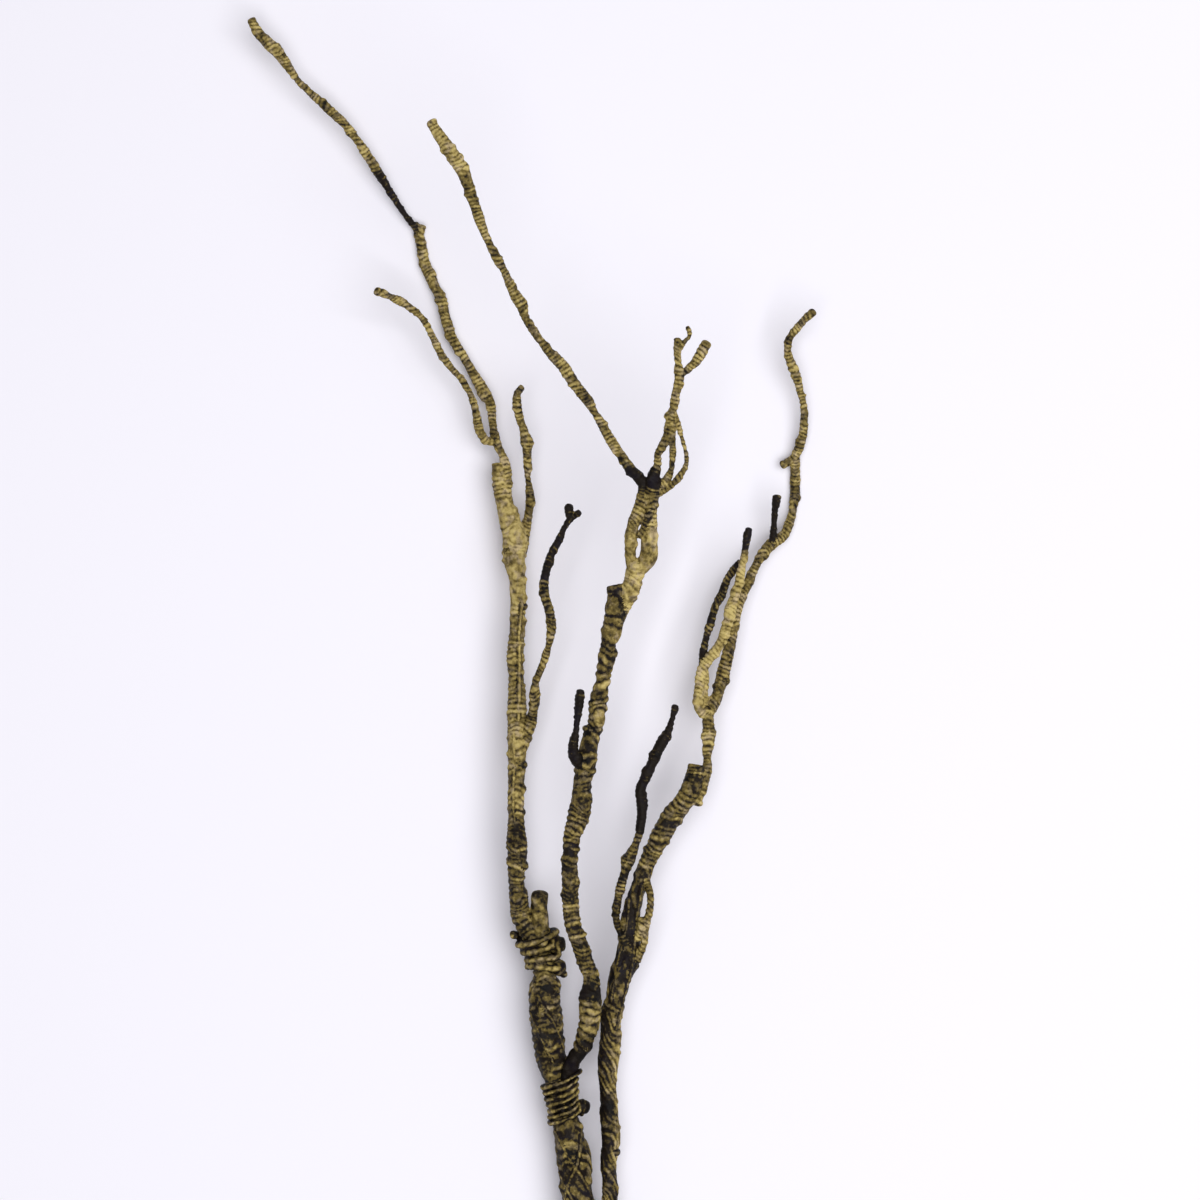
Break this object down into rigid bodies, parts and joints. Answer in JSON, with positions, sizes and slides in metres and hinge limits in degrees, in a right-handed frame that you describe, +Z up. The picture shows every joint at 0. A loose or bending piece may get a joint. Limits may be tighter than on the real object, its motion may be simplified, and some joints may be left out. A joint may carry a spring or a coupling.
{
  "type": "twiggy branch",
  "caption": "Decorative twiggy branch of cord-wound stems with slim side twigs, tied with cord, painted dark and dry-brushed ochre, lying flat.",
  "frame": {"origin": "on the surface that the branch lies on, in the middle of the flat spot under the lower end of the main stem", "axes": "+Y along the branch from its cut end towards the tips, +Z up from the surface, +X to the right as the picture shows it"},
  "size_m": [0.2853, 0.7126, 0.0958],
  "materials": {
    "painted_bark": "rough matte twine, coated black-brown and dry-brushed ochre",
    "binding_cord": "matte cord, coated black-brown and dry-brushed ochre"
  },
  "bodies": {
    "root": {"main_stem": "painted_bark", "middle_stem": "painted_bark", "right_stem": "painted_bark", "crotch_binding": "binding_cord", "stub_binding": "binding_cord", "foot_binding": "binding_cord"}
  },
  "joints": []
}
